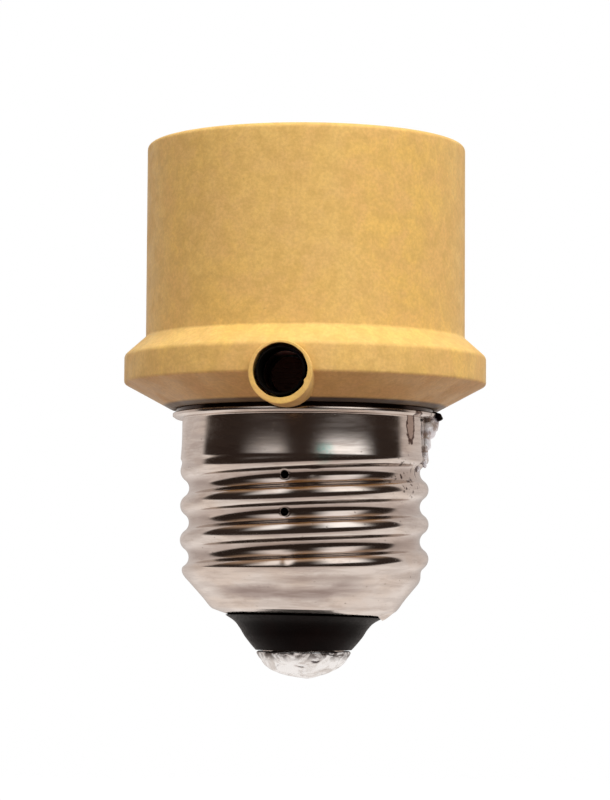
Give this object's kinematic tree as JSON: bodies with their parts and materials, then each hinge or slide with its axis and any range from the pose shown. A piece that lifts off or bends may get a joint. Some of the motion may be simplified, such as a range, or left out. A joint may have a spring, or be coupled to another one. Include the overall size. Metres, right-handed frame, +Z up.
{
  "type": "photocell light socket",
  "caption": "Screw-in lamp holder adapter with a moulded cup and flange, a light sensor tube in the flange, a rolled screw base and an insulated tip.",
  "frame": {"origin": "on the axis, at the bottom of the solder tip that meets the lamp holder's centre contact", "axes": "+Z up the axis, from the screw base towards the lamp cup's rim; the sensor tube points along -Y"},
  "size_m": [0.0382, 0.0387, 0.0562],
  "materials": {
    "moulded_plastic": "matte",
    "black_sleeve": "matte",
    "photocell_ceramic": "matte",
    "nickel_plate": "bright",
    "black_plastic": "semi-gloss",
    "solder": "bright",
    "white_plastic": "satin",
    "brass": "satin",
    "board_laminate": "matte",
    "diac_body": "gloss",
    "capacitor_sleeve": "gloss",
    "resistor_coating": "satin",
    "tinned_wire": "satin",
    "red_sleeve": "satin",
    "white_sleeve": "satin"
  },
  "bodies": {
    "socket": {"housing": "moulded_plastic", "light_shield": "black_sleeve", "photocell": "photocell_ceramic", "screw_shell": "nickel_plate", "base_insulator": "black_plastic", "tip_contact": "nickel_plate", "tip_solder": "solder", "side_solder": "solder", "socket_insert": "white_plastic", "socket_shell": "brass", "contact_rivet": "brass", "shell_rivet": "brass", "circuit_board": "board_laminate", "triac": "black_plastic", "diac": "diac_body", "rectifier": "black_plastic", "timing_capacitor": "capacitor_sleeve", "dropper_resistor": "resistor_coating", "gate_resistor": "resistor_coating", "hot_wire": "black_sleeve", "neutral_wire": "tinned_wire", "load_wire": "red_sleeve", "shell_wire": "white_sleeve"},
    "contact": {"center_contact": "brass"}
  },
  "joints": [
    {"name": "contact_spring", "type": "hinge", "parent": "socket", "child": "contact", "pos_m": [-0.0044, 0, 0.03198], "axis": [0, 1, 0], "range_deg": [0, 6], "stiffness_Nm_per_rad": 0.05}
  ]
}
